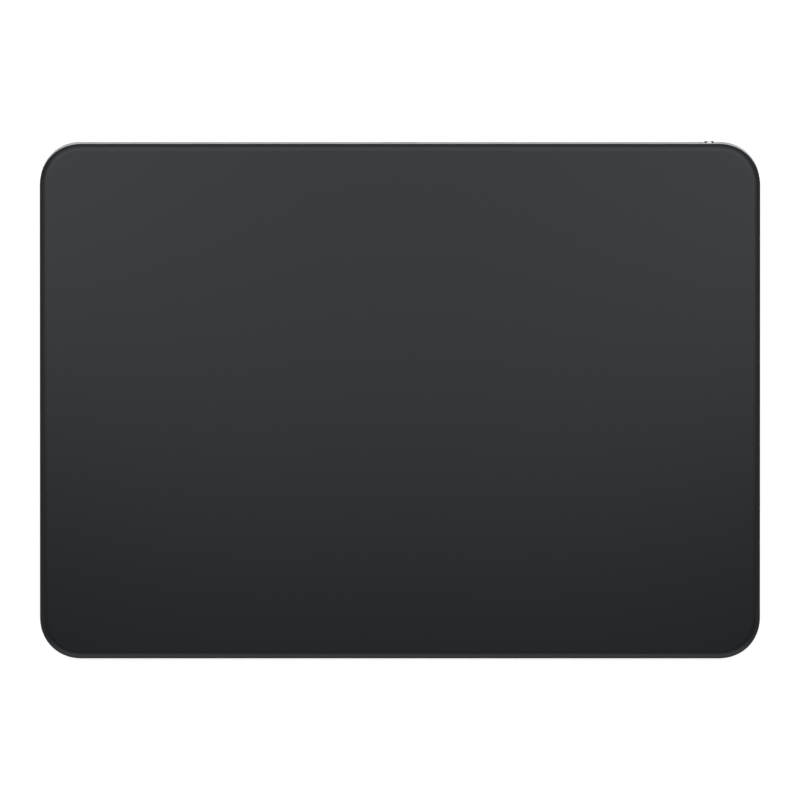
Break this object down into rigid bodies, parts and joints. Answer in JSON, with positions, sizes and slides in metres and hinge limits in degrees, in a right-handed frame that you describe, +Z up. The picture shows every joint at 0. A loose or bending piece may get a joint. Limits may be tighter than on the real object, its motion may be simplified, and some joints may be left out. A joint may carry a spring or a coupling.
{
  "type": "trackpad",
  "caption": "Wireless desk trackpad: a sloping satin black glass plate on a silver case, with force-sensing feet, a haptic actuator, a charging socket and a slide switch.",
  "frame": {"origin": "middle of the footprint, on the desk", "axes": "+X right, +Y to the thick rear edge, +Z up"},
  "size_m": [0.16, 0.115, 0.0108],
  "materials": {
    "etched_glass": "black-backed glass with a fine satin etch",
    "black_adhesive": "black pressure-sensitive adhesive",
    "anodised_aluminium": "bead-blasted, clear anodised",
    "grey_polycarbonate": "fine moulded grain",
    "grey_rubber": "moulded matt elastomer",
    "spring_steel": "rolled strip",
    "steel_sheet": "pressed and plated sheet",
    "screw_steel": "turned and plated",
    "circuit_board": "glass laminate under solder mask",
    "chip_resin": "moulded epoxy",
    "ribbon_film": "amber polyimide film",
    "gauge_foil": "metal foil on film",
    "cell_pouch": "laminated pouch under black film",
    "white_adhesive": "white foam tape",
    "nickel_strip": "rolled nickel",
    "connector_resin": "moulded ivory resin",
    "coil_copper": "wound enamelled copper",
    "armature_tungsten": "sintered heavy metal",
    "magnet_nickel": "nickel plated magnet",
    "dark_resin": "moulded dark resin",
    "contact_gold": "gold plated spring contacts",
    "antenna_resin": "moulded ivory resin",
    "antenna_copper": "copper foil",
    "cable_jacket": "extruded black jacket",
    "switch_resin": "moulded silver-grey resin",
    "flag_green": "printed green patch"
  },
  "bodies": {
    "chassis": {"cover_glass": "etched_glass", "glass_adhesive": "black_adhesive", "touch_board": "circuit_board", "touch_chips": "chip_resin", "touch_ribbon": "ribbon_film", "case": "anodised_aluminium", "bottom_cover": "grey_polycarbonate", "cover_adhesive": "black_adhesive", "leaf_front_left": "spring_steel", "leaf_front_right": "spring_steel", "leaf_rear_left": "spring_steel", "leaf_rear_right": "spring_steel", "leaf_screws": "screw_steel", "strain_gauges": "gauge_foil", "force_ribbon": "ribbon_film", "battery_left": "cell_pouch", "battery_right": "cell_pouch", "battery_adhesive": "white_adhesive", "battery_guard": "circuit_board", "battery_link": "nickel_strip", "battery_lead": "ribbon_film", "main_board": "circuit_board", "main_chips": "chip_resin", "shield_can": "steel_sheet", "board_connectors": "connector_resin", "board_screws": "screw_steel", "actuator_base": "steel_sheet", "actuator_coils": "coil_copper", "spring_left": "spring_steel", "spring_right": "spring_steel", "actuator_lid": "steel_sheet", "actuator_screws": "screw_steel", "actuator_ribbon": "ribbon_film", "socket_liner": "dark_resin", "socket_insert": "dark_resin", "socket_contacts": "contact_gold", "socket_shell": "steel_sheet", "socket_strap": "steel_sheet", "socket_screws": "screw_steel", "socket_ribbon": "ribbon_film", "antenna_carrier": "antenna_resin", "antenna_foil": "antenna_copper", "antenna_cable": "cable_jacket", "switch_housing": "dark_resin", "switch_bracket": "steel_sheet", "switch_screws": "screw_steel", "switch_ribbon": "ribbon_film"},
    "slider": {"switch_slider": "switch_resin", "switch_flag": "flag_green", "switch_lever": "dark_resin"},
    "armature": {"armature": "armature_tungsten", "armature_magnets": "magnet_nickel"},
    "foot_front_left": {"foot_pad_front_left": "grey_rubber", "plunger_front_left": "steel_sheet"},
    "foot_front_right": {"foot_pad_front_right": "grey_rubber", "plunger_front_right": "steel_sheet"},
    "foot_rear_left": {"foot_pad_rear_left": "grey_rubber", "plunger_rear_left": "steel_sheet"},
    "foot_rear_right": {"foot_pad_rear_right": "grey_rubber", "plunger_rear_right": "steel_sheet"}
  },
  "joints": [
    {"name": "switch_slide", "type": "slide", "parent": "chassis", "child": "slider", "axis": [1, 0, 0], "range_m": [-0.00225, 0]},
    {"name": "armature_slide", "type": "slide", "parent": "chassis", "child": "armature", "axis": [1, 0, 0], "range_m": [-0.0003, 0.0003], "stiffness_N_per_m": 4500, "deforming": ["spring_left", "spring_right"]},
    {"name": "foot_press_front_left", "type": "slide", "parent": "chassis", "child": "foot_front_left", "axis": [0, 0, 1], "range_m": [0, 0.0003], "stiffness_N_per_m": 8000, "deforming": ["leaf_front_left"]},
    {"name": "foot_press_front_right", "type": "slide", "parent": "chassis", "child": "foot_front_right", "axis": [0, 0, 1], "range_m": [0, 0.0003], "stiffness_N_per_m": 8000, "deforming": ["leaf_front_right"]},
    {"name": "foot_press_rear_left", "type": "slide", "parent": "chassis", "child": "foot_rear_left", "axis": [0, 0, 1], "range_m": [0, 0.0003], "stiffness_N_per_m": 8000, "deforming": ["leaf_rear_left"]},
    {"name": "foot_press_rear_right", "type": "slide", "parent": "chassis", "child": "foot_rear_right", "axis": [0, 0, 1], "range_m": [0, 0.0003], "stiffness_N_per_m": 8000, "deforming": ["leaf_rear_right"]}
  ]
}
